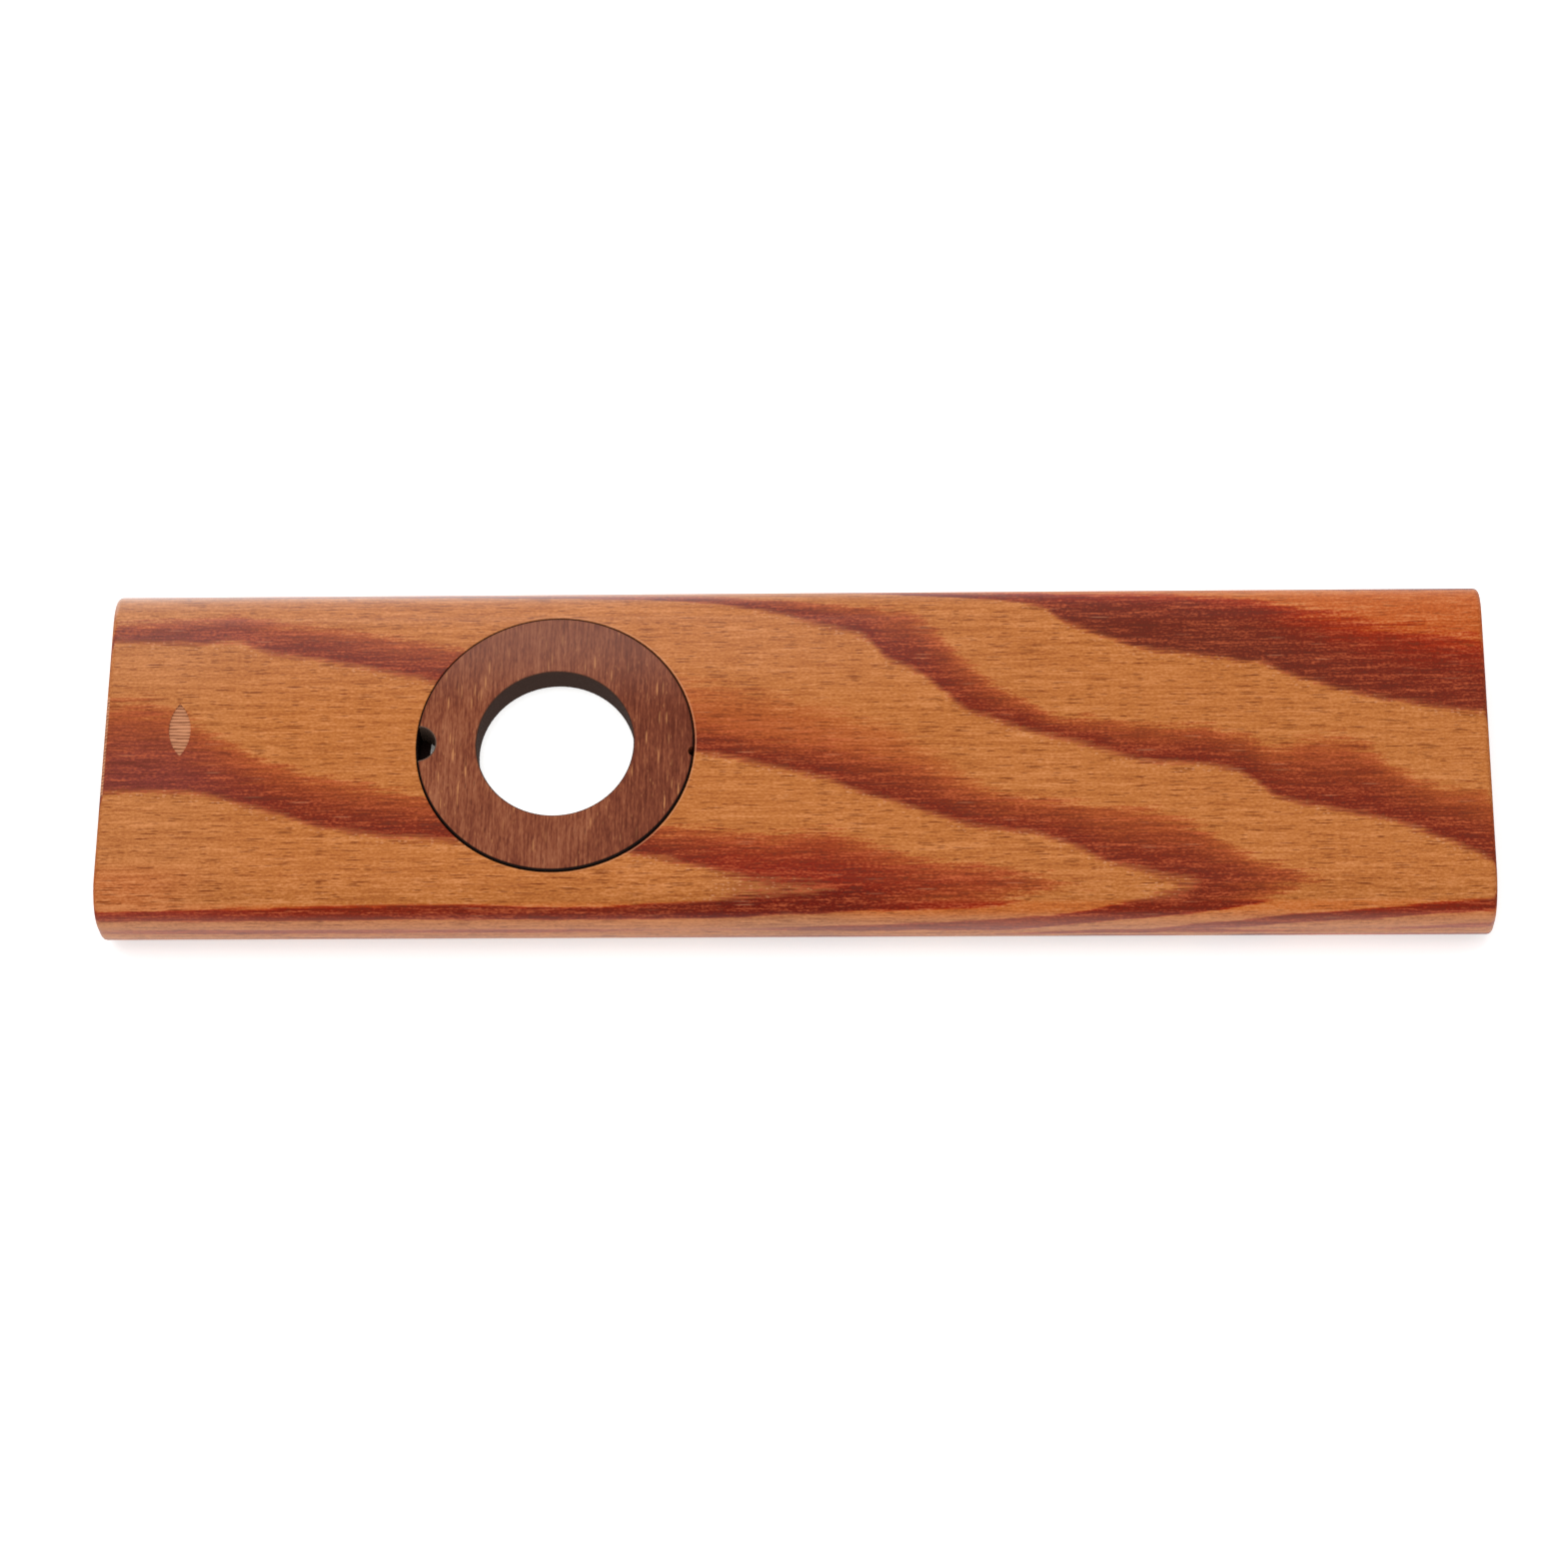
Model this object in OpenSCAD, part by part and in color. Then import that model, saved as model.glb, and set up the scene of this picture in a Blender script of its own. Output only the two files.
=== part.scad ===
// Flat wooden kazoo. A rounded wooden bar holds an air channel from end to end.
// A round window in its top opens into the channel, a thin film lies over the
// window, and a wooden ring pressed in over the film holds it.
//
// X runs from the mouth end (-X) to the far end, Y across the bar and Z up.
// The origin is under the middle of the bar, which rests on z = 0.
//
// The feature that takes the most skill is the stepped film seat: window, ledge,
// film, ring and the eased wall round them stack up to the top of the bar, and
// the ring's notched rim has to drop into it with a close, even gap.

/* [Bar] */
// Length of the bar, from the mouth end to the far end
bar_l = 125; // [100:1:180]
// Width of the bar
bar_w = 33; // [29:0.5:44]
// Radius along the four long edges
edge_r = 3.75; // [1:0.25:4]
// Radius that softens the edges of both ends
end_r = 0.5; // [0.2:0.1:0.9]

/* [Air channel] */
// Width of the channel
channel_w = 17; // [10:0.5:20]
// Height of the channel
channel_h = 4.2; // [3:0.1:6]
// Radius that the cutter leaves in the channel's upper corners
channel_r = 1; // [0.3:0.1:1.4]
// Chamfer round the two mouths of the channel
mouth_bevel = 0.4; // [0.1:0.1:0.7]

/* [Sole] */
// Thickness of the strip that is glued under the channel
sole_t = 1; // [0.8:0.1:3]

/* [Film seat] */
// Distance from the mouth end to the middle of the seat
seat_x = 41.05; // [30:0.05:60]
// Diameter of the window under the film
window_d = 15; // [8:0.5:18]
// Thickness of the ledge that carries the film
ledge_t = 0.8; // [0.6:0.1:3]
// Chamfer round the top of the seat
seat_bevel = 0.1; // [0.05:0.05:0.3]

/* [Mouth-end mark] */
// Distance from the mouth end to the middle of the engraved mark
mark_x = 6.9; // [4:0.1:15]
// Distance from the bar's middle line to the middle of the mark
mark_y = 1.6; // [-8:0.1:8]
// Length of the mark from tip to tip, across the bar
mark_l = 5.3; // [3:0.1:9]
// Width of the mark at its middle
mark_w = 2; // [1:0.1:2.8]
// Depth of the engraving
mark_depth = 0.12; // [0.05:0.01:0.3]
// Turn of the mark, in degrees
mark_turn = 3; // [-10:1:10]

/* [Film] */
// Thickness of the film
film_t = 0.1; // [0.05:0.05:0.3]
// Clearance between the film's rim and the wall of the seat
film_gap = 0.95; // [0.1:0.05:1.5]

/* [Ring] */
// Outer diameter of the ring
ring_d = 25; // [20:0.25:26]
// Diameter of the hole through the ring
ring_bore_d = 14.2; // [8:0.1:17]
// Thickness of the ring
ring_t = 3.1; // [2:0.1:5]
// Height of the ring's top above the bar
ring_proud = 0.2; // [0:0.05:0.6]
// Clearance between the ring and the wall of the seat, on the radius
ring_gap = 0.06; // [0.02:0.01:0.1]
// Chamfer along the ring's outer and inner edges
ring_bevel = 0.15; // [0.05:0.05:0.4]
// Radius of the half-round notch where a blade lifts the ring out
notch_r = 1.7; // [0.8:0.05:2.5]
// Radius of the small nick across from the notch
nick_r = 0.45; // [0.2:0.05:1.2]
// Turn of the nick about the ring's axis, in degrees
nick_turn = -4; // [-20:1:20]

/* [Hidden] */
$fn = 96;

// Overrun of cuts past the surface that they open
over = 1;

// Heights, stacked from the underside up
channel_top = sole_t + channel_h;
film_z = channel_top + ledge_t;
ring_z = film_z + film_t;
bar_t = ring_z + ring_t - ring_proud;

// The seat and what lies in it
seat_pos = seat_x - bar_l / 2;
seat_r = ring_d / 2 + ring_gap;
film_r = seat_r - film_gap;
ring_r = ring_d / 2;
bore_r = ring_bore_d / 2;

light_wood = "#c27c46";
sole_wood = "#b87340";
ring_wood = "#84563f";
milk_film = "#f6f4ee";

// Rectangle of w by h about the origin, with corners of radius r
module round_rect(w, h, r) {
    square([w, h - 2 * r], center = true);
    square([w - 2 * r, h], center = true);
    for (sx = [-1, 1], sy = [-1, 1])
        translate([sx * (w / 2 - r), sy * (h / 2 - r)]) circle(r);
}

// Rod along one long edge, with both of its ends softened
module edge_rod() {
    rotate_extrude()
        intersection() {
            round_rect(2 * edge_r, bar_l, end_r);
            translate([0, -bar_l / 2]) square([edge_r, bar_l]);
        }
}

// The whole bar before anything is cut: a rod lies along each long edge, and two
// crossed slabs with the same softened ends fill the space between the rods
module bar_form() {
    rod_y = bar_w / 2 - edge_r;
    rod_z = bar_t / 2 - edge_r;
    translate([0, 0, bar_t / 2]) {
        for (sy = [-1, 1], sz = [-1, 1])
            translate([0, sy * rod_y, sz * rod_z]) rotate([0, 90, 0]) edge_rod();
        rotate([90, 0, 0]) linear_extrude(2 * rod_y, center = true)
            round_rect(bar_l, bar_t, end_r);
        linear_extrude(2 * rod_z, center = true) round_rect(bar_l, bar_w, end_r);
    }
}

// Air channel, square where the sole closes it and rounded along its upper corners
module channel_cut() {
    rotate([90, 0, 90]) linear_extrude(bar_l + 2 * over, center = true)
        difference() {
            translate([-channel_w / 2, sole_t - over]) square([channel_w, channel_h + over]);
            for (s = [-1, 1])
                translate([s * (channel_w / 2 - channel_r), channel_top - channel_r])
                    difference() {
                        translate([s > 0 ? 0 : -channel_r - over, 0]) square(channel_r + over);
                        circle(channel_r);
                    }
        }
}

// Chamfer of both mouths: a wedge seen from the side, met by a wedge seen from above
module mouth_cut() {
    reach = mouth_bevel + over;
    inner_x = bar_l / 2 - mouth_bevel;
    outer_x = bar_l / 2 + over;
    for (s = [0, 1]) mirror([s, 0, 0])
        intersection() {
            rotate([90, 0, 0]) linear_extrude(channel_w + 2 * reach, center = true)
                polygon([[inner_x, sole_t], [outer_x, sole_t - reach],
                         [outer_x, channel_top + reach], [inner_x, channel_top]]);
            translate([0, 0, sole_t - reach]) linear_extrude(channel_h + 2 * reach)
                polygon([[inner_x, -channel_w / 2], [outer_x, -channel_w / 2 - reach],
                         [outer_x, channel_w / 2 + reach], [inner_x, channel_w / 2]]);
        }
}

// Window, round seat and the chamfer at the top of the seat's wall
module seat_cut() {
    translate([seat_pos, 0, 0]) {
        translate([0, 0, channel_top - over])
            cylinder(h = ledge_t + 2 * over, d = window_d);
        translate([0, 0, film_z])
            cylinder(h = bar_t - film_z + over, r = seat_r);
        translate([0, 0, bar_t - seat_bevel])
            cylinder(h = seat_bevel + over, r1 = seat_r, r2 = seat_r + seat_bevel + over);
    }
}

// Lens-shaped mark engraved near the mouth end: two round arcs that meet at its tips
module mark_cut() {
    arc_r = (pow(mark_l / 2, 2) + pow(mark_w / 2, 2)) / mark_w;
    translate([mark_x - bar_l / 2, mark_y, bar_t - mark_depth]) rotate([0, 0, mark_turn])
        linear_extrude(mark_depth + over)
            intersection_for(s = [-1, 1])
                translate([s * (arc_r - mark_w / 2), 0]) circle(arc_r);
}

// Block of the bar above the sole, milled from below for the channel and bored from above
module body_block() {
    color(light_wood)
        difference() {
            bar_form();
            translate([0, 0, sole_t / 2 - over / 2])
                cube([bar_l + 2 * over, bar_w + 2 * over, sole_t + over], center = true);
            channel_cut();
            mouth_cut();
            seat_cut();
            mark_cut();
        }
}

// Thin strip with the bar's lower edges, glued under the block
module sole_plate() {
    color(sole_wood)
        difference() {
            bar_form();
            translate([0, 0, sole_t + bar_t / 2])
                cube([bar_l + 2 * over, bar_w + 2 * over, bar_t], center = true);
            mouth_cut();
        }
}

// Film disc on the ledge
module membrane() {
    color(milk_film)
        translate([seat_pos, 0, film_z]) cylinder(h = film_t, r = film_r);
}

// Ring with softened edges, a half-round notch towards the mouth end and a nick across
module clamp_ring() {
    color(ring_wood)
        translate([seat_pos, 0, ring_z])
            difference() {
                rotate_extrude()
                    polygon([[bore_r, 0], [ring_r - ring_bevel, 0], [ring_r, ring_bevel],
                             [ring_r, ring_t - ring_bevel], [ring_r - ring_bevel, ring_t],
                             [bore_r + ring_bevel, ring_t], [bore_r, ring_t - ring_bevel]]);
                translate([-ring_r, 0, -over]) cylinder(h = ring_t + 2 * over, r = notch_r);
                rotate([0, 0, nick_turn]) translate([ring_r, 0, -over])
                    cylinder(h = ring_t + 2 * over, r = nick_r);
            }
}

body_block();
sole_plate();
membrane();
clamp_ring();
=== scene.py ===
import math
from functools import reduce

import bpy
from mathutils import Matrix, Vector


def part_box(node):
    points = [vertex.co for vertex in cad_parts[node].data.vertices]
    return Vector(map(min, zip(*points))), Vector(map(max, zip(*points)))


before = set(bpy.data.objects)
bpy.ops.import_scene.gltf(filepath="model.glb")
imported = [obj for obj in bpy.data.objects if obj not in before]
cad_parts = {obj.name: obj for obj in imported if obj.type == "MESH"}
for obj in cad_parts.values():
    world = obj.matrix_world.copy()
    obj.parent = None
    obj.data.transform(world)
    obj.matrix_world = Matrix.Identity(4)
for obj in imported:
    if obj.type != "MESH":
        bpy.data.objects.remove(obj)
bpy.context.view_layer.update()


# Bar: block and sole.
# The block is one length of boldly striped timber, milled from below for its air channel and
# bored from above for the film. A thin strip of the same timber closes it from below, glued on.
# Both are sanded smooth and waxed. The bores keep the burnt walls of their cutting, painted near
# black, which also stands in for the shade down in the seat.
mm = 0.001
block_low, block_high = (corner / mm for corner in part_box("body_block"))
ring_low, ring_high = (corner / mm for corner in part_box("clamp_ring"))
film_low, film_high = (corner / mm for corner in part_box("membrane"))
half_length = block_high.x
bar_top = block_high.z
glue_z = block_low.z
ring_rim = (ring_high.y - ring_low.y) / 2
ring_middle_x = ring_high.x - ring_rim
# The eased edge of the seat ends 0.16 mm outside the ring, and the ledge under the film is
# 0.8 mm thick
seat_edge = ring_rim + 0.16
ledge_foot = film_low.z - 0.8


class Shade:
    """One output of a shader node. Arithmetic on it adds Math nodes to the same material."""

    def __init__(self, tree, output=None):
        self.tree = tree
        self.output = output

    def node(self, kind, settings=None, sockets=None, result=0):
        """Add a node of this kind: its settings first, then a value or a link for each socket."""
        made = self.tree.nodes.new("ShaderNode" + kind)
        for name, value in (settings or {}).items():
            if name == "stops":
                ramp = made.color_ramp
                while len(ramp.elements) < len(value):
                    ramp.elements.new(0.5)
                for stop, (position, colour) in zip(ramp.elements, value):
                    stop.position = position
                    stop.color = colour
            elif name == "points":
                made.mapping.use_clip = False
                curve = made.mapping.curves[0]
                curve.points[0].location = value[0]
                curve.points[1].location = value[-1]
                for point in value[1:-1]:
                    curve.points.new(*point)
                made.mapping.update()
            else:
                setattr(made, name, value)
        for name, value in (sockets or {}).items():
            if isinstance(value, Shade):
                self.tree.links.new(value.output, made.inputs[name])
            else:
                made.inputs[name].default_value = value
        return Shade(self.tree, made.outputs[result])

    def math(self, operation, *values):
        return self.node("Math", {"operation": operation}, dict(enumerate(values)))

    def __add__(self, other):
        return self.math("ADD", self, other)

    def __radd__(self, other):
        return self.math("ADD", other, self)

    def __sub__(self, other):
        return self.math("SUBTRACT", self, other)

    def __rsub__(self, other):
        return self.math("SUBTRACT", other, self)

    def __mul__(self, other):
        return self.math("MULTIPLY", self, other)

    def __rmul__(self, other):
        return self.math("MULTIPLY", other, self)

    def __truediv__(self, other):
        return self.math("DIVIDE", self, other)

    def __pow__(self, other):
        return self.math("POWER", self, other)

    def larger(self, other):
        return self.math("MAXIMUM", self, other)

    def smaller(self, other):
        return self.math("MINIMUM", self, other)

    def rise(self, low, high):
        """0 at low and 1 at high, with a soft start and end. High may be the lower number."""
        return self.node("MapRange", {"interpolation_type": "SMOOTHSTEP"},
                         {"Value": self, "From Min": low, "From Max": high})

    def within(self, low, high, soft):
        """1 between low and high, 0 outside, with soft borders."""
        return self.rise(low - soft, low + soft) * self.rise(high + soft, high - soft)

    def curve(self, points):
        """Height of a smooth curve through the points."""
        return self.node("FloatCurve", {"points": points}, {"Value": self})

    def over(self, under, top):
        """Colour top laid over colour under, as strongly as this mask says. Inputs 6 and 7 and
        output 2 are a Mix node's sockets for colours."""
        return self.node("Mix", {"data_type": "RGBA"}, {0: self, 6: under, 7: top}, result=2)

    def ramp(self, stops):
        return self.node("ValToRGB", {"stops": stops}, {"Fac": self})

    def xyz(self):
        """The three parts of a vector."""
        parts = self.node("SeparateXYZ", sockets={0: self}).output.node.outputs
        return [Shade(self.tree, part) for part in parts]

    def noise(self, x, y, z, detail=2.0):
        """Soft solid noise from 0 to 1 at a place given in units of its own grain."""
        place = self.node("CombineXYZ", sockets={0: x, 1: y, 2: z})
        return self.node("TexNoise", {}, {"Vector": place, "Scale": 1.0, "Detail": detail})

    def specks(self, x, y, z, spot, share):
        """Scattered specks at a place given in units of their own size. A speck fades in from the
        first distance of spot to the second. It is left out where its random draw is below the
        first number of share, and full where it is above the second."""
        place = self.node("CombineXYZ", sockets={0: x, 1: y, 2: z})
        cells = self.node("TexVoronoi", {}, {"Vector": place, "Scale": 1.0})
        draw = Shade(self.tree, cells.output.node.outputs["Color"]).xyz()[0]
        return cells.rise(*spot) * draw.rise(*share)


def paint(red, green, blue):
    """A colour given as it looks on a screen, 0 to 255, in the linear values that Blender uses."""
    def linear(channel):
        share = channel / 255
        return share / 12.92 if share <= 0.04045 else ((share + 0.055) / 1.055) ** 2.4
    return (linear(red), linear(green), linear(blue), 1.0)


def lay(colour, coats):
    """Lay coats over a colour. Each is a mask, which says how strongly it covers, and its colour."""
    for mask, tint in coats:
        colour = mask.over(colour, tint)
    return colour


def material(name, specular):
    """New material with its shader, and the three parts of the place on the piece in millimetres."""
    made = bpy.data.materials.new(name)
    made.use_nodes = True
    shader = made.node_tree.nodes["Principled BSDF"]
    shader.inputs["Specular IOR Level"].default_value = specular
    start = Shade(made.node_tree)
    place = start.node("TexCoord", result="Object")
    place = start.node("VectorMath", {"operation": "SCALE"}, {"Vector": place, "Scale": 1 / mm})
    return made, shader, place.xyz()


def connect(node, socket, shade):
    """Link a worked-out value or colour to a socket of a node."""
    shade.tree.links.new(shade.output, node.inputs[socket])


def emboss(shader, height, strength, depth):
    """Bump the surface by this height, which stands for a depth in millimetres."""
    bump = height.node("Bump", {}, {"Strength": strength, "Distance": depth * mm, "Height": height})
    connect(shader, "Normal", bump)


def off_axis(x, y, axis_x):
    """Distance from an upright axis that crosses the bar's middle line at this x."""
    side = x - axis_x
    return (side * side + y * y) ** 0.5


# Each growth ring is dark above one sharp edge and fades out upwards. Its edge is given on the
# bar's top as points of x and y, and the depth of its dark part as points of x and depth, in
# millimetres. A ring with a strength is fainter than the others, and one with a pitch is
# followed by more like it at that distance.
growth_rings = [
    {"edge": [(-62.5, -4.6), (-57, -4.5), (-53.3, -4.8), (-50, -5.7), (-47.9, -6.3), (-44, -7.5),
              (-42.3, -8.1), (-38, -8.8), (-35.1, -9.1), (-30.5, -9.4), (-20, -10.1), (-13.5, -10.9),
              (-9, -11.9), (-5, -12.85), (-2.5, -13.25), (0, -13.42), (2.5, -13.6), (6, -14.6),
              (12, -16.2), (19.8, -17.6), (62.5, -24.5)],
     "deep": [(-62.5, 8.9), (-58, 8.7), (-53, 6.3), (-50, 5.4), (-48, 4.9), (-40, 4.8), (-34, 4.2),
              (-20, 3.4), (-11, 3.1), (-6, 3.9), (0, 4.4), (6, 4.8), (12, 4.6), (18, 4.9),
              (27, 4.4), (35, 3.8), (62.5, 3.5)]},
    {"edge": [(-62.5, 10.6), (-57, 10.4), (-54, 10.3), (-50.5, 10.4), (-48.5, 9.5), (-46, 9),
              (-42, 8.4), (-40, 8), (-36, 7.1), (-33, 6.4), (-20, 2.6), (-8.7, -0.8), (-6, -1.3),
              (-3.2, -2), (0, -2.8), (4, -3.9), (5.4, -4.6), (12, -6.8), (15.3, -8), (18, -8.5),
              (23.3, -9.5), (25, -10.2), (28.2, -11.9), (31, -12.55), (33.5, -13.1), (35.5, -13.4),
              (38, -14.4), (44.9, -16.1), (62.5, -22.3)],
     "deep": [(-62.5, 1.6), (-56, 2.5), (-50, 3), (-46, 3.4), (-38, 3.5), (-33, 3.7), (-20, 3.8),
              (-9, 3.4), (-2, 3.2), (4, 4), (10, 4.6), (13, 4.4), (18, 3.6), (21, 3.4), (25, 4.2),
              (30, 5.6), (33, 5.7), (36, 5.2), (42, 3.7), (47.5, 3.3), (62.5, 3.3)]},
    {"edge": [(-62.5, 11.6), (-33, 7.4), (-20, 3.6), (-8.7, 0.3), (-3.2, -0.8), (4, -2.8),
              (12, -5.7), (18, -7.5), (28.2, -11), (38, -13.4), (62.5, -21)],
     "deep": [(-62.5, 0.5), (-34, 0.5), (-20, 4.5), (-9, 6), (-2, 6), (4, 6.2), (10, 6),
              (13, 5), (18, 2.8), (25, 0.5), (62.5, 0.5)],
     "strength": 0.33},
    {"edge": [(-62.5, 45), (0, 28), (20, 17), (30, 10.8), (40, 9), (50, 5.8), (62.5, 3.7)],
     "deep": [(-62.5, 0.5), (20, 0.5), (30, 5), (40, 8), (50, 13), (62.5, 15)],
     "strength": 0.12},
    {"edge": [(-62.5, 25.6), (-44.9, 23.6), (-30, 20.7), (-20, 18.4), (-9.9, 15.9), (-6, 14.7),
              (-4, 13.9), (-2, 13.2), (0, 12.6), (3, 11.7), (5, 11.2), (6.5, 10.6), (7.5, 9.6),
              (8.3, 8.6), (11, 7.2), (13.5, 5.2), (15.5, 3.4), (18, 2.3), (20, 1.5), (22.1, 0.8),
              (25, 0.1), (28, -0.9), (30, -1.6), (32, -2), (35, -2.2), (38, -2.5), (40, -3.1),
              (41.5, -4), (43, -5.3), (44.5, -6), (47, -6.5), (50, -7.2), (52, -7.6), (55, -8.5),
              (58, -9.8), (60, -10.7), (62.5, -12)],
     "deep": [(-62.5, 2.2), (-10.1, 2.6), (-2, 2.8), (4, 2.8), (6, 3), (8, 4.6), (10, 5.5), (12, 5.6),
              (14.5, 4.8), (16, 4.6), (18, 3.6), (21, 3), (24, 2), (26.7, 2.9), (30, 3.5),
              (36, 3.7), (41, 3.7), (44, 5.3), (47.5, 6.6), (51, 7), (54, 5.3), (57, 4.9),
              (60, 5.6), (62.5, 6)]},
    {"edge": [(-62.5, 39.1), (-39.8, 35.7), (-20, 30), (0, 21.5), (8, 18.4), (14, 16.6),
              (20, 14.9), (22.5, 13.9), (24, 12.4), (25, 11.8), (26.5, 11.2), (28.5, 10.4),
              (30, 9.8), (32, 9.2), (36, 8.7), (40, 8), (42.5, 7.7), (44, 7), (46, 6.1),
              (48, 5.5), (52, 4.3), (55, 3.8), (58, 3.2), (62.5, 2.7)],
     "deep": [(-62.5, 4), (20, 3.5), (24, 5.5), (30, 7.5), (36, 8), (42, 7.4), (48, 7.4), (52, 7.4),
              (58, 7.6), (62.5, 7.5)],
     "pitch": 17.5},
]
# How far a ring moves back for each millimetre of depth, as points of x and distance
ring_lean = [(-62.5, 8), (-48, 7.4), (-39, 6.5), (-30, 5.6), (-8, 3.2), (1, 2.6), (10, 2.5),
             (18, 2.5), (27, 2.8), (34, 2.9), (40, 4.2), (45, 4.8), (54, 4.4), (62.5, 3.6)]
# On the bar's rounded front the rings come out as stripes. The top, the foot and the strength of
# each are given as points of x.
front_stripes = [
    {"top": [(-62.5, 7.5), (-56, 7.6), (-50, 7.7), (-40, 7.85), (-30, 7.95), (-20, 7.75),
             (-15, 7.85), (-10, 8.1), (-5, 8.6), (0, 9.5), (62.5, 9.5)],
     "foot": [(-62.5, 6.65), (-50, 6.65), (-30, 6.75), (-20, 6.7), (-10, 6.75), (-5, 6.9),
              (0, 7.15), (6, 7.42), (12, 7.52), (17, 7.65), (21, 8.2), (26, 9.6), (62.5, 9.6)],
     "strength": [(-62.5, 0.6), (-50, 0.62), (-35, 0.75), (-20, 0.9), (0, 1), (8, 0.9), (14, 0.55),
                  (20, 0.35), (62.5, 0.3)]},
    {"top": [(-62.5, 5.3), (-50, 5.2), (-40, 5.15), (-20, 5.1), (-8, 5.05), (-2, 5.2), (4, 5.6),
             (8, 5.75), (12, 5.95), (16, 6.25), (20, 6.6), (24, 6.98), (28, 7.6), (31, 8.2),
             (34, 9.2), (62.5, 9.6)],
     "foot": [(-62.5, 4.4), (-20, 4.4), (-8, 4.6), (-2, 4.6), (4, 4.5), (8, 4.5), (12, 4.6),
              (16, 4.5), (20, 4.55), (24, 5.5), (28, 6.2), (32, 6.65), (36, 7.15), (40, 7.7),
              (44, 8.3), (47, 8.9), (50, 9.6), (62.5, 9.6)],
     "strength": [(-62.5, 0.15), (-57, 0.35), (-50, 0.45), (-38, 0.3), (-20, 0.32), (-13, 0.12),
                  (-7, 0.12), (-2, 0.35), (2, 0.6), (12, 0.65), (18, 0.6), (24, 0.65), (30, 0.8),
                  (62.5, 0.85)]},
    {"top": [(-62.5, 2), (20, 3.8), (24, 4.15), (28, 4.5), (32, 4.65), (36, 5.65), (40, 6.2),
             (44, 6.85), (48, 7.08), (52, 7.38), (56, 7.7), (60, 8), (62.5, 8.15)],
     "foot": [(-62.5, 2), (20, 3.2), (24, 3.5), (28, 3.7), (32, 3.75), (36, 4.6), (40, 4.95),
              (44, 5.7), (48, 6.1), (52, 6.35), (56, 6.85), (60, 7.08), (62.5, 7.2)],
     "strength": [(-62.5, 0), (16, 0), (24, 0.45), (32, 0.5), (40, 0.65), (48, 0.7), (56, 0.65),
                  (62.5, 0.7)]},
    {"top": [(-62.5, 2), (33, 4.2), (36, 4.55), (40, 4.3), (48, 4.35), (52, 4.6), (56, 4.95),
             (60, 5.5), (62.5, 5.7)],
     "foot": [(-62.5, 2), (33, 3.9), (36, 3.8), (40, 3.8), (48, 3.9), (52, 4.1), (56, 4.4),
              (60, 4.6), (62.5, 4.8)],
     "strength": [(-62.5, 0), (32, 0), (36, 0.45), (42, 0.35), (47, 0.1), (51, 0.05), (56, 0.3),
                  (62.5, 0.3)]},
]

# Colours of the wood from light at 0 to dark at 1, along the bar and at its mouth end, where they are
# cooler
# and greyer: partly the wood's own colour, partly a painted sheen
wood_stops = [(0.0, paint(203, 112, 52)), (0.15, paint(184, 74, 26)), (0.3, paint(164, 46, 13)),
              (0.45, paint(147, 34, 11)), (0.65, paint(131, 30, 12)), (0.85, paint(122, 32, 16)),
              (1.0, paint(119, 35, 19))]
mouth_end_stops = [(0.0, paint(203, 121, 70)), (0.15, paint(183, 86, 46)), (0.3, paint(169, 62, 34)),
                   (0.45, paint(153, 51, 34)), (0.65, paint(138, 49, 38)), (0.85, paint(131, 52, 43)),
                   (1.0, paint(129, 57, 48))]
early_wood = paint(178, 114, 58)
brink_brown = paint(150, 84, 50)
blush_red = paint(148, 30, 12)
deep_red = paint(90, 16, 10)
flush_red = paint(190, 84, 42)
# Pale tint of the painted sheen on the bar's front
sheen_pale = paint(198, 150, 108)
heart_brown = paint(94, 42, 30)
pore_brown = paint(112, 46, 16)
streak_brown = paint(138, 62, 28)
streak_gold = paint(226, 150, 96)
ember_red = paint(204, 102, 62)
fleck_pale = paint(216, 150, 110)
seat_char_and_shade = paint(30, 14, 10)
glue_brown = paint(88, 48, 28)
hatch_pale = paint(210, 146, 108)
hatch_brown = paint(96, 48, 28)


def growth_ring(ring, x, across, waver):
    """One ring as four masks: its dark wood, the early wood below its edge, the frayed fibres on
    the edge and the brown seam along it. Below a ring with a pitch, all is early wood."""
    above = across - x.curve(ring["edge"])
    edge = above.rise(-0.35, 0.4)
    frayed = above.within(-0.8, 0.1, 0.2)
    if "pitch" in ring:
        above = above.math("FLOORED_MODULO", above.larger(0), ring["pitch"])
    strength = ring.get("strength", 1)
    depth = above.larger(0) / x.curve(ring["deep"]).larger(0.3) + waver
    fading = 1 - 0.85 * depth.larger(0) ** 2
    dark = edge * fading.larger(0) * strength
    early = above.rise(-4, -0.2) * (1 - edge)
    seam = dark * (1 - edge) * (4 * strength)
    return dark, early, frayed, seam


def front_stripe(stripe, x, height):
    """Mask of one stripe on the rounded front."""
    band = height.within(x.curve(stripe["foot"]), x.curve(stripe["top"]), 0.15)
    return band * x.curve(stripe["strength"])


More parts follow.
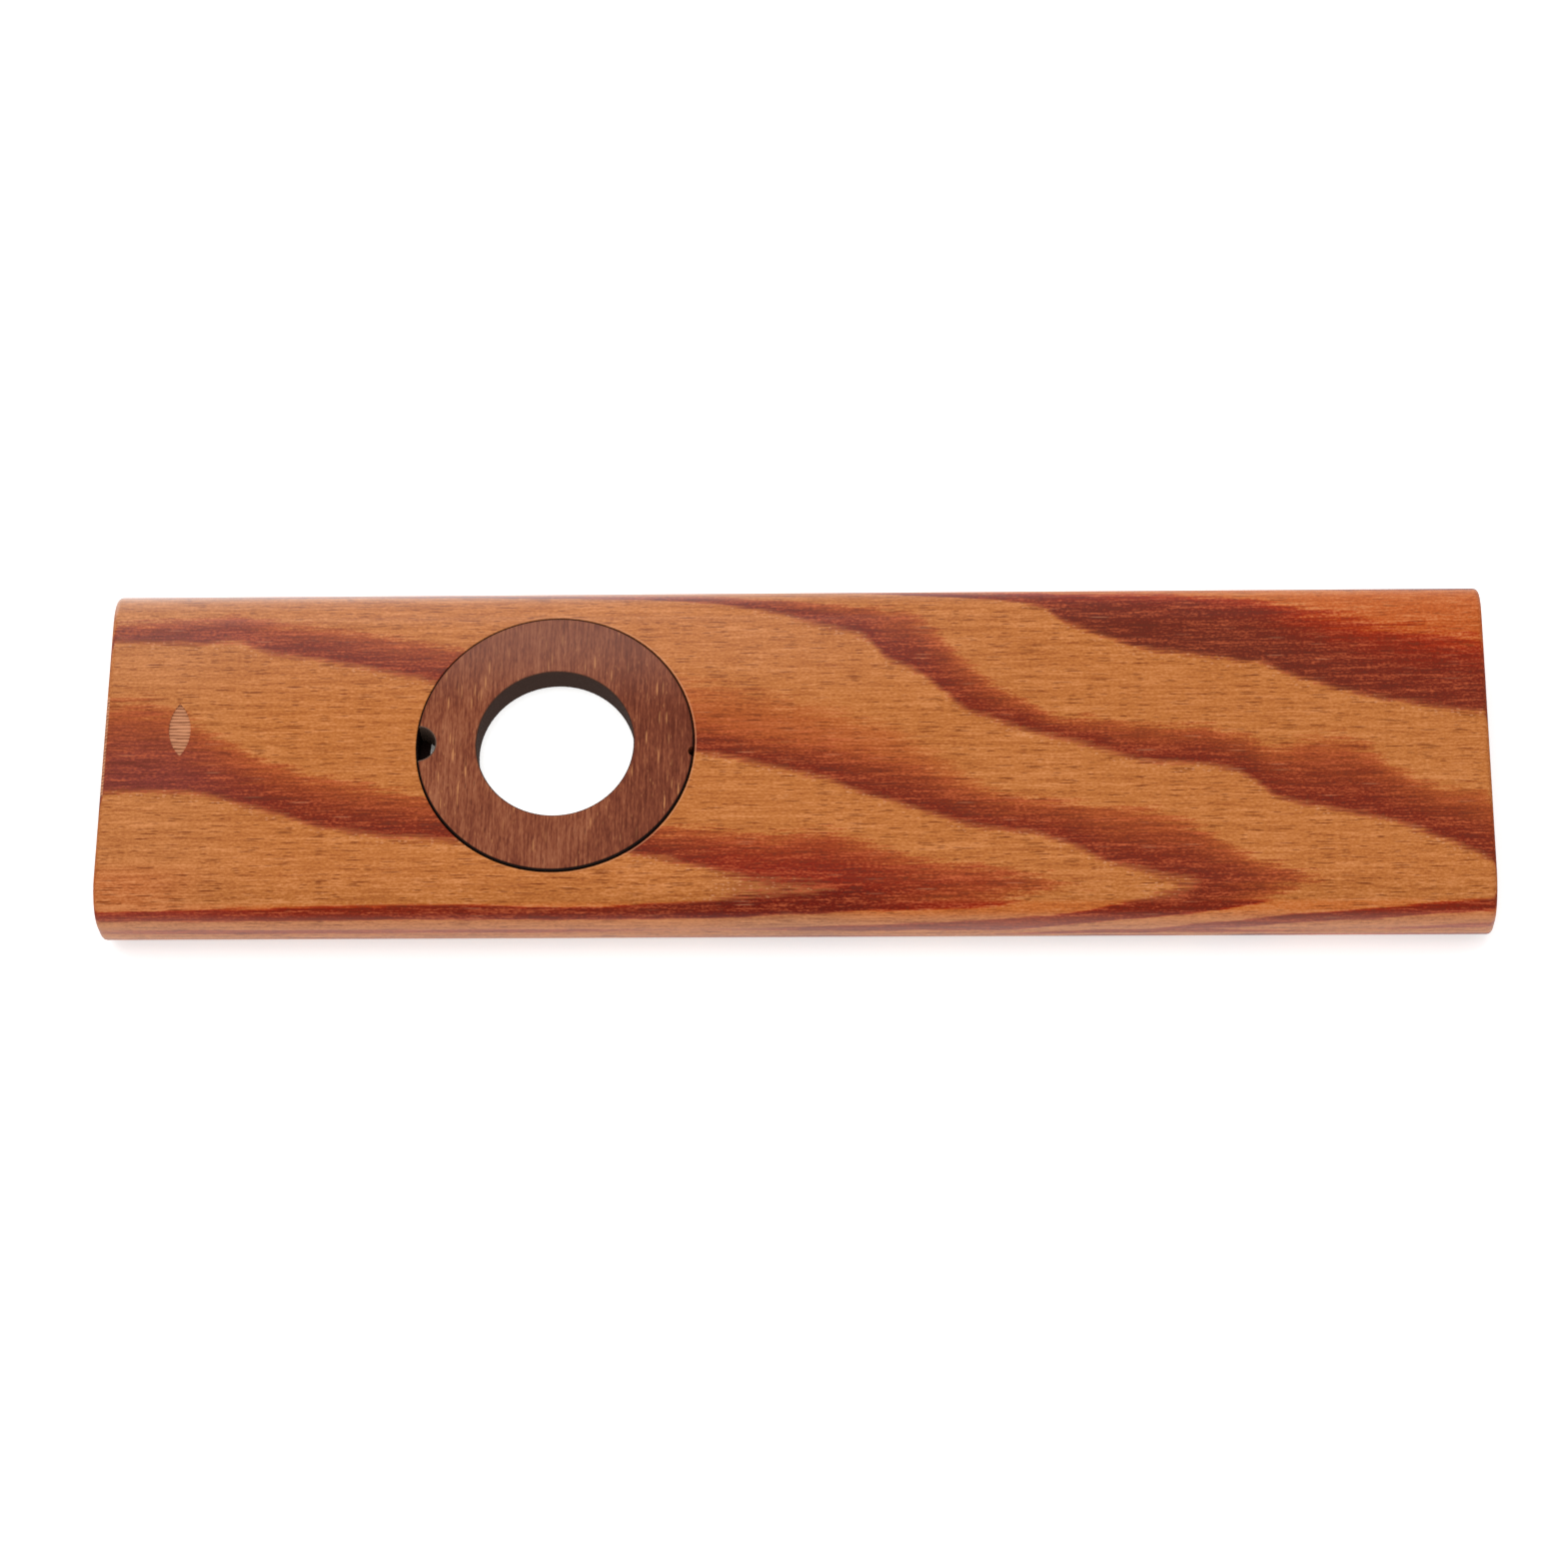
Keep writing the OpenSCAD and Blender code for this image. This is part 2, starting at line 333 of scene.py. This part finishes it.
def ring_coats(x, y, z, dark, early, seam, heart, top_side):
    """Coats that shade the growth rings from place to place."""
    bare = 1 - dark
    upper = z.rise(6, 7)
    # Redder dark wood in the front half right of the seat, deepest where the front rounds off
    blush = x.rise(-12, -4) * x.rise(26, 16) * y.rise(-7, -10) * upper
    ember = x.rise(-14, -6) * x.rise(14, 4) * y.rise(-13.8, -14.6) * upper
    # Brown tips of the light tongues there, and redder light wood in the mouth end's front corner
    tongue_tip = x.rise(-10, -1) * x.rise(8, 2) * y.rise(-12, -13.5)
    flush = x.rise(-50, -60) * y.rise(-11, -13.5) * top_side
    # Painted sheen: paler, greyer wood on the rounded front, where it faces the white surroundings
    front_sheen = y.rise(-15.8, -16.4) * (1 - top_side)
    # Dark heartwood from the last ring on, weaker again towards the far end
    heartwood = x.rise(20, 28) * (1 - 0.6 * x.rise(38, 58)) * heart.rise(0.1, 0.9) * top_side
    return [(early * bare * 0.6, early_wood),
            (seam * 0.6, brink_brown),
            (blush * dark * 0.5, blush_red),
            (ember * dark * 0.6, deep_red),
            (tongue_tip * bare * 0.5, brink_brown),
            (flush * bare * 0.35, flush_red),
            (front_sheen * bare * 0.35, sheen_pale),
            (heartwood * 0.55, heart_brown)]


def streak_coats(dark, glow):
    """Coats that lighten the fibres where the glow is above 0, and darken them where it is below."""
    strongest = 0.7
    glint = dark.rise(0, 0.4).over(streak_gold, ember_red)
    gloom = (0 - glow).larger(0) * (0.9 + 0.4 * dark)
    shadow = dark.over(streak_brown, heart_brown)
    return [(glow.larger(0).smaller(strongest), glint),
            (gloom.smaller(strongest), shadow)]


def timber_pores(x, y, z, early):
    """Mask of the long and short pores, which crowd in the early wood and in loose clouds."""
    crowd = x.noise(x / 9, y / 1.3 + 20, z / 1.3).rise(0.35, 0.62).larger(early)
    long_pore = x.specks(x / 3.2, y / 0.16, z / 0.16, spot=(0.34, 0.16), share=(0.45, 0.75))
    short_pore = x.specks(x / 1.5 + 50, y / 0.16, z / 0.16, spot=(0.34, 0.16), share=(0.5, 0.8))
    return (long_pore * (0.4 + 0.6 * crowd)).larger(short_pore * (0.3 + 0.7 * crowd) * 0.9)


def timber_flecks(x, y, z, dark, frayed):
    """Mask of the pale flecks, in the wood and among the frayed fibres."""
    fleck = x.specks(x / 4 + 40, y / 0.25, z / 0.25, spot=(0.3, 0.12), share=(0.75, 0.95))
    fray = x.specks(x / 0.5 + 20, y / 0.2, z / 0.2, spot=(0.4, 0.2), share=(0.3, 0.6))
    return (fleck * (0.15 + 0.2 * dark)).larger(fray * frayed * (1 - dark) * 0.6)


def cut_coats(x, y, z):
    """Coats on the seat's burnt walls with painted shade, a painted highlight on its rim, the glue line
    and both ends.
    """
    reach = off_axis(x, y, ring_middle_x)
    wall = reach.rise(seat_edge, seat_edge - 0.08) * z.rise(ledge_foot, ledge_foot + 0.2)
    rim = reach.within(seat_edge, seat_edge + 0.12, 0.04) * z.rise(bar_top - 0.2, bar_top - 0.1)
    glue_line = z.within(glue_z - 0.03, glue_z + 0.03, 0.02)
    cut_end = (x * x).rise((half_length - 0.6) ** 2, (half_length - 0.1) ** 2)
    # Burnt walls and ledge of the seat, near black: char and painted shade of the recess
    return [(wall, seat_char_and_shade),
            # Painted highlight on the seat's eased rim, right of x = -30
            (rim * x.rise(-30, -10) * 0.5, fleck_pale),
            (glue_line * 0.8, glue_brown),
            (cut_end * 0.25, streak_brown)]


def mark_coat(x, y, z, fibre, strand):
    """Coat of scratched hatching on the floor of the engraved mark near the mouth end."""
    pocket = z.within(bar_top - 0.3, bar_top - 0.04, 0.03) * x.rise(-50, -51) * (y * y).rise(25, 24)
    # Three lines to the millimetre, which waver with the fibres
    wave = y * 19 + (fibre - 0.5) * 9
    hatch = x.math("SINE", wave).rise(-0.1, 0.6) * (0.5 + 0.8 * (strand - 0.2)).smaller(1)
    return pocket * 0.9, hatch.over(hatch_pale, hatch_brown)


def timber(name, board_shift):
    """Striped timber. The shift along the board tells one strip of it from another."""
    made, shader, (x, y, z) = material(name, specular=0.04)
    board_x = x + board_shift
    # Unevenness at five sizes of fibre, longer than wide
    fuzz = x.noise(board_x / 0.35, y / 0.12, z / 0.12)
    fibre = x.noise(board_x / 2.5, y / 0.18, z / 0.18, detail=3)
    strand = x.noise(board_x / 12, y / 0.5, z / 0.5, detail=3)
    grain = x.noise(board_x / 2.2, y / 0.15, z / 0.15, detail=3)
    broad = x.noise(board_x / 9 + 30, y / 0.5, z / 0.5)

    # Place across the rings, which lean back with depth and are made ragged by the fibres
    lean = x.curve(ring_lean) * (bar_top - z)
    ragged = (fibre - 0.5) * 1.5 + (strand - 0.5) * 0.5 + (fuzz - 0.5) * 1.2
    across = y + lean + ragged + board_shift
    waver = (strand + fibre - 1) * 0.4
    rings = [growth_ring(ring, x, across, waver) for ring in growth_rings]
    heart = rings[-1][0]
    dark, early, frayed, seam = (reduce(Shade.larger, masks) for masks in zip(*rings))

    # Past y = -15 and above z = 3, the stripes of the front take over from the rings
    height = z + (fibre - 0.5) * 0.5
    striped = reduce(Shade.larger, [front_stripe(stripe, x, height) for stripe in front_stripes])
    top_side = 1 - y.rise(-15, -15.5) * z.rise(3, 3.4)
    dark = striped + (dark - striped) * top_side
    early, frayed, seam = (mask * top_side for mask in (early, frayed, seam))

    glow = (fuzz - 0.5) * 2 + (grain - 0.5) * 1.9 + (broad - 0.5) * 1.5
    pore = timber_pores(board_x, y, z, early)
    coats = ring_coats(x, y, z, dark, early, seam, heart, top_side)
    coats += streak_coats(dark, glow)
    coats += [(pore * (0.95 - 0.4 * dark), dark.over(pore_brown, heart_brown)),
              (timber_flecks(board_x, y, z, dark, frayed), fleck_pale)]
    coats += cut_coats(x, y, z)
    coats += [mark_coat(x, y, z, fibre, strand)]
    # Cooler, greyer colours towards the mouth end, partly a painted sheen
    mouth_end = x.rise(-44, -58)
    colour = mouth_end.over(dark.ramp(wood_stops), dark.ramp(mouth_end_stops))
    connect(shader, "Base Color", lay(colour, coats))
    connect(shader, "Roughness", 0.4 + 0.14 * grain)
    back_wax = y.rise(2, 12) * x.rise(30, -5) * 0.35 + y.rise(11.5, 14.4) * (0.25 + 0.75 * x.rise(5, -30))
    front_wax = y.rise(-15.7, -16.45) * 0.5
    connect(shader, "Coat Weight", back_wax + front_wax)
    shader.inputs["Coat Roughness"].default_value = 0.3
    emboss(shader, grain * 0.3 - pore * 0.6, strength=0.4, depth=0.03)
    return made


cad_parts["body_block"].data.materials[0] = timber("striped_timber", board_shift=0.0)
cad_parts["sole_plate"].data.materials[0] = timber("striped_timber_of_the_sole", board_shift=7.0)


# Film.
# A disc of thin milky film, cut with scissors, lies on the ledge over the window and buzzes
# when someone hums. It is slightly crinkled, and over the window it has a painted glow, an emission with
# no lamp behind it.
film_rim = (film_high.x - film_low.x) / 2
# The ring's box doesn't tell the size of its hole, but its mesh does
ring_corners = [corner.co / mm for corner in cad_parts["clamp_ring"].data.vertices]
hole_radius = min(math.hypot(corner.x - ring_middle_x, corner.y) for corner in ring_corners)
milky_stops = [(0.3, paint(246, 246, 244)), (0.7, paint(253, 253, 252))]
rim_grey = paint(226, 224, 219)
black = paint(0, 0, 0)
white = paint(255, 255, 255)


def film_finish():
    """Milky film with a painted glow over the window."""
    made, shader, (x, y, z) = material("milky_film", specular=0.4)
    crinkle = x.noise(x / 3, y / 3, z, detail=3)
    over_window = off_axis(x, y, ring_middle_x).rise(film_rim, hole_radius)
    connect(shader, "Base Color", over_window.over(rim_grey, crinkle.ramp(milky_stops)))
    # Painted glow: emission over the window keeps the film white in the ring's shade
    connect(shader, "Emission Color", over_window.ramp([(0, black), (1, white)]))
    shader.inputs["Emission Strength"].default_value = 0.5
    shader.inputs["Roughness"].default_value = 0.35
    emboss(shader, crinkle, strength=0.3, depth=0.05)
    return made


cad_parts["membrane"].data.materials[0] = film_finish()


# Clamp ring.
# A ring of darker, close-grained wood, cut by laser from thin board with its grain across the
# bar. It is pressed in over the film, and a notch in its rim takes the blade that lifts it out.
notch_x = ring_middle_x - ring_rim
notch_radius = 1.7
ring_stops = [(0.34, paint(95, 42, 26)), (0.445, paint(118, 59, 39)), (0.5, paint(134, 72, 47)),
              (0.64, paint(160, 98, 68))]
fleck_gold = paint(204, 138, 88)
ring_pore_brown = paint(74, 30, 20)
back_sheen_brown = paint(150, 112, 100)
rim_char_and_shade = paint(20, 12, 10)
char_brown = paint(80, 44, 32)
hole_brown = paint(62, 46, 40)
notch_lift_brown = paint(92, 74, 64)


def ring_finish():
    """Dark wood with burnt walls. Its rim has painted shade at the front, its top a painted sheen
    at the back, and the notch wall is painted paler to lift its shade.
    """
    made, shader, (x, y, z) = material("dark_ring_wood", specular=0.06)
    cloud = x.noise(x / 2.5, y / 5, z / 2.5)
    strand = x.noise(x / 0.22, y / 3.5, z / 0.22, detail=3)
    grain = x.noise(x / 0.12, y / 0.6, z / 0.12, detail=3)
    far_side = (x - ring_middle_x).rise(0, 11)
    tone = cloud * 0.2 + strand * 0.45 + grain * 0.35 - far_side * 0.09
    long_fleck = x.specks(x / 0.3, y / 2.6, z / 0.3, spot=(0.34, 0.14), share=(0.6, 0.85))
    short_fleck = x.specks(x / 0.26, y / 0.8, z / 0.26, spot=(0.3, 0.12), share=(0.6, 0.9))
    gold = long_fleck.larger(short_fleck * 0.5) * cloud.rise(0.3, 0.6)
    pore = x.specks(x / 0.28 + 30, y / 1.4, z / 0.28, spot=(0.3, 0.12), share=(0.55, 0.85))

    reach = off_axis(x, y, ring_middle_x)
    # The char reaches a little further in along the front and is black there, brown towards the back:
    # painted shade where the groove is darkest
    char = ring_rim - 0.03 - y.rise(-2, -10) * 0.06
    burnt_and_shaded_rim = reach.rise(char - 0.13, char)
    hole_wall = reach.rise(hole_radius + 0.15, hole_radius + 0.03)
    notch_wall = off_axis(x, y, notch_x).rise(notch_radius + 0.15, notch_radius + 0.02)
    coats = [(gold * 0.7, fleck_gold),
             (pore * 0.5, ring_pore_brown),
             # Painted sheen: the ring's top greyer towards the back
             (y.rise(3, 11) * 0.3, back_sheen_brown),
             (burnt_and_shaded_rim, y.rise(-4, 9).over(rim_char_and_shade, char_brown)),
             (hole_wall, hole_brown),
             # Painted light: the notch's burnt wall is paler than the hole's, to lift the shade deep in
             # the notch
             (notch_wall, notch_lift_brown)]
    connect(shader, "Base Color", lay(tone.ramp(ring_stops), coats))
    connect(shader, "Roughness", 0.5 + 0.45 * hole_wall)
    emboss(shader, grain - pore, strength=0.4, depth=0.03)
    return made


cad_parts["clamp_ring"].data.materials[0] = ring_finish()


# Studio.
# A white table and a white room, three large soft lights and the photograph's camera. Room and
# table show as white in the picture and in reflections, and shine less on the part.
def surroundings(start):
    """1 for the rays that show the white surroundings, in the picture or in a reflection."""
    rays = start.node("LightPath").output.node.outputs
    seen = ("Is Camera Ray", "Is Glossy Ray", "Is Transmission Ray")
    return reduce(Shade.larger, [Shade(start.tree, rays[name]) for name in seen])


world = bpy.data.worlds.new("studio")
world.use_nodes = True
bpy.context.scene.world = world
room_light = 0.6
background = world.node_tree.nodes["Background"]
background.inputs["Color"].default_value = white
shown = surroundings(Shade(world.node_tree))
connect(background, "Strength", room_light + (1 - room_light) * shown)

table_size = 3.0
table_glow = 0.5
bpy.ops.mesh.primitive_plane_add(size=table_size)
table = bpy.context.object
table.name = "table"
table_white = bpy.data.materials.new("table_white")
table_white.use_nodes = True
shader = table_white.node_tree.nodes["Principled BSDF"]
shader.inputs["Base Color"].default_value = paint(238, 238, 238)
shader.inputs["Roughness"].default_value = 0.9
shader.inputs["Specular IOR Level"].default_value = 0.1
shader.inputs["Emission Color"].default_value = white
connect(shader, "Emission Strength", table_glow * surroundings(Shade(table_white.node_tree)))
table.data.materials.append(table_white)


def softbox(name, place, size, power):
    """Square area light that faces the part."""
    light = bpy.data.lights.new(name, "AREA")
    light.size = size
    light.energy = power
    lamp = bpy.data.objects.new(name, light)
    bpy.context.scene.collection.objects.link(lamp)
    lamp.location = place
    lamp.rotation_euler = (-Vector(place)).to_track_quat("-Z", "Y").to_euler()


softbox("overhead", place=(-0.12, 0.1, 0.8), size=0.7, power=2.9)
softbox("front_fill", place=(0.3, -0.7, 0.5), size=0.6, power=0.7)
softbox("back_edge", place=(-0.5, 0.7, 0.25), size=0.5, power=1.4)

# The camera looks down on the bar from the front, and is turned a little to one side
aim = Vector((-0.912, -2.068, 4.5)) * mm
distance = 415.42 * mm
azimuth = math.radians(4.738)
elevation = math.radians(65.460)
roll = math.radians(4.625)
away = Vector((math.sin(azimuth) * math.cos(elevation), -math.cos(azimuth) * math.cos(elevation),
               math.sin(elevation)))
lens = bpy.data.cameras.new("camera")
lens.lens = 105.05
lens.sensor_width = 36.0
camera = bpy.data.objects.new("camera", lens)
bpy.context.scene.collection.objects.link(camera)
camera.matrix_world = (Matrix.Translation(aim + away * distance) @ Matrix.Rotation(azimuth, 4, "Z")
                       @ Matrix.Rotation(math.radians(90) - elevation, 4, "X")
                       @ Matrix.Rotation(-roll, 4, "Z"))
bpy.context.scene.camera = camera
bpy.context.scene.view_settings.view_transform = "Standard"
